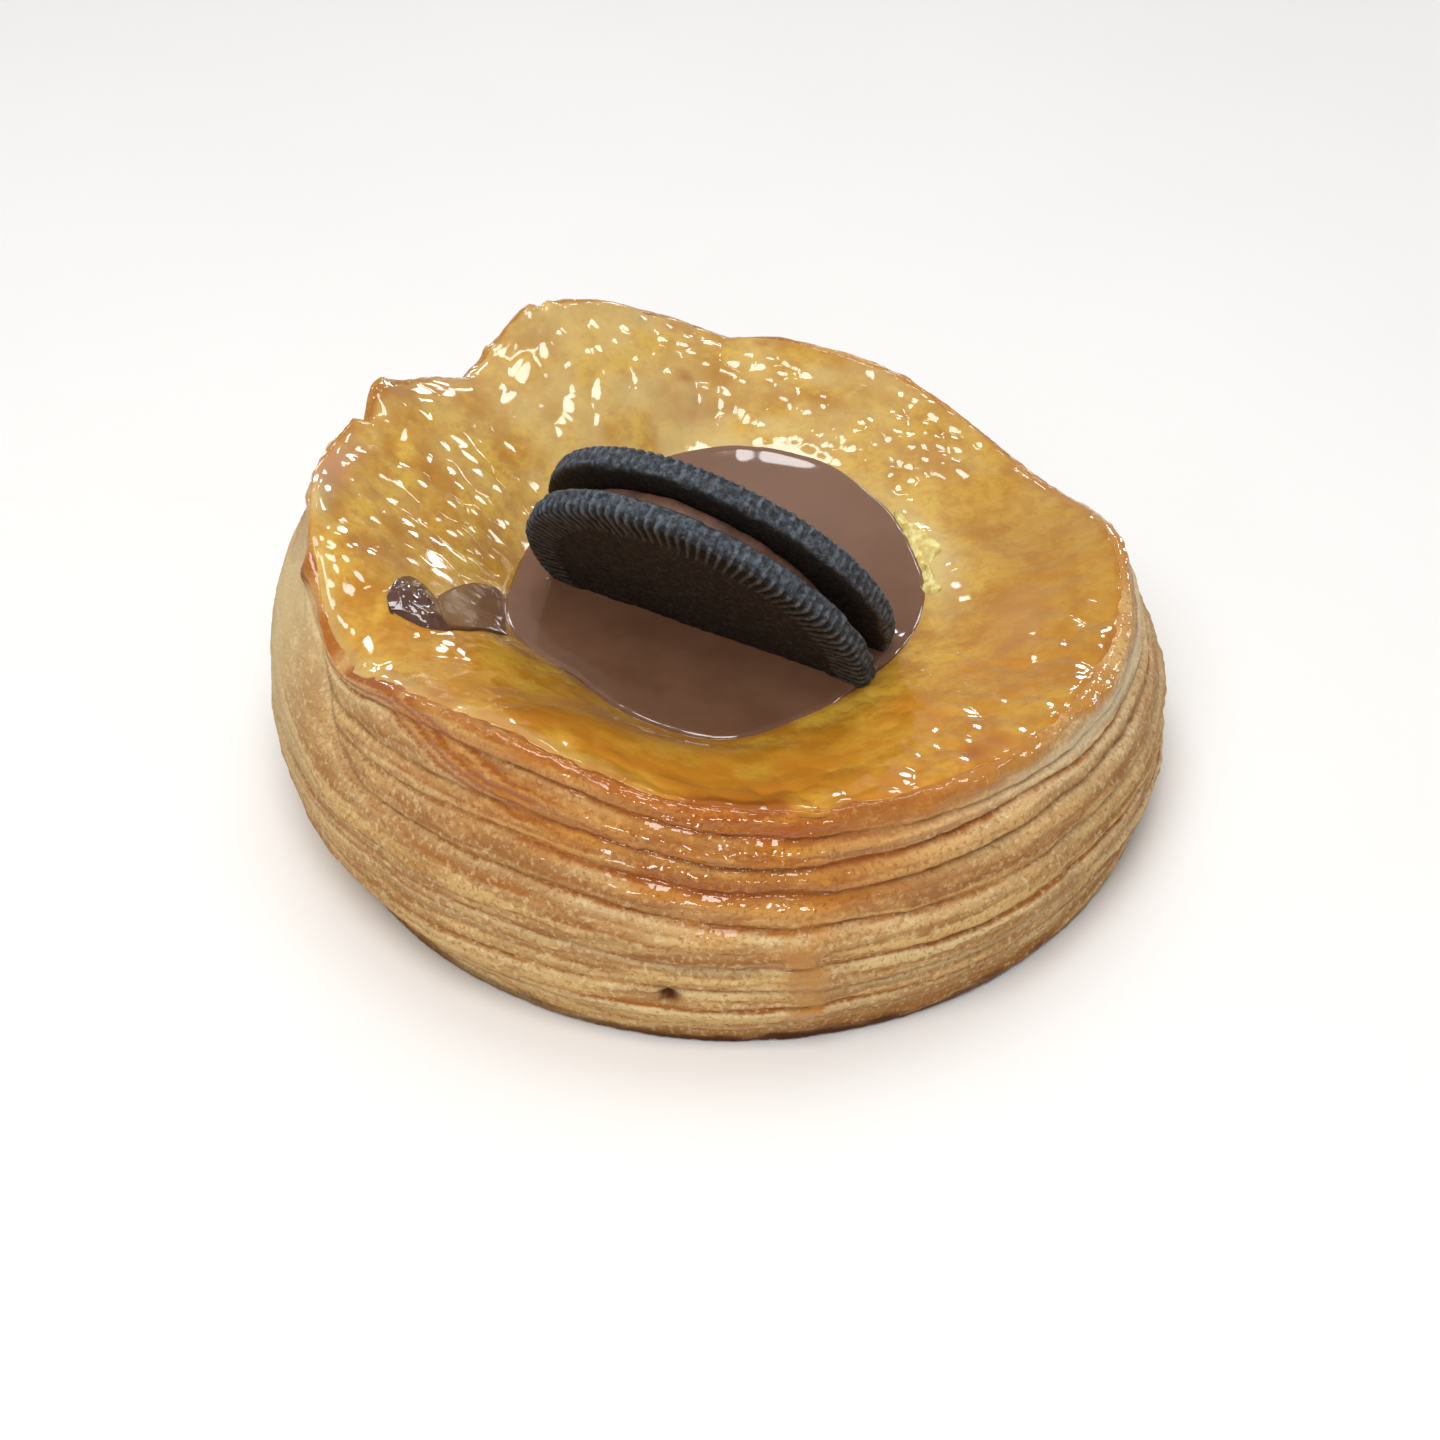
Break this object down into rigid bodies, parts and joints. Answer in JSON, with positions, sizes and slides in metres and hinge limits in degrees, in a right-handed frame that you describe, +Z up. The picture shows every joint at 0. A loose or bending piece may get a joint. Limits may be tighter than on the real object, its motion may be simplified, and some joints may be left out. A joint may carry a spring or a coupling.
{
  "type": "danish pastry",
  "caption": "Round laminated danish pastry with a layered side, a dished glazed top, a pool of chocolate cream in its well and a dark sandwich biscuit standing in the cream.",
  "frame": {"origin": "on the surface that the pastry rests on, under the middle of its outline", "axes": "+Z up, -Y towards the front, where the biscuit's face shows, and +X to the right seen from the front"},
  "size_m": [0.1068, 0.1068, 0.0479],
  "materials": {
    "baked_dough": "golden baked dough, glossy with sugar glaze on top, dry and layered at the side",
    "chocolate": "smooth wet chocolate cream",
    "dark_wafer": "dry, fine-grained, almost black cocoa biscuit",
    "brown_cream": "dull chocolate cream filling"
  },
  "bodies": {
    "root": {"pastry": "baked_dough", "chocolate_pool": "chocolate", "wafer_front": "dark_wafer", "biscuit_cream": "brown_cream", "wafer_back": "dark_wafer"}
  },
  "joints": []
}
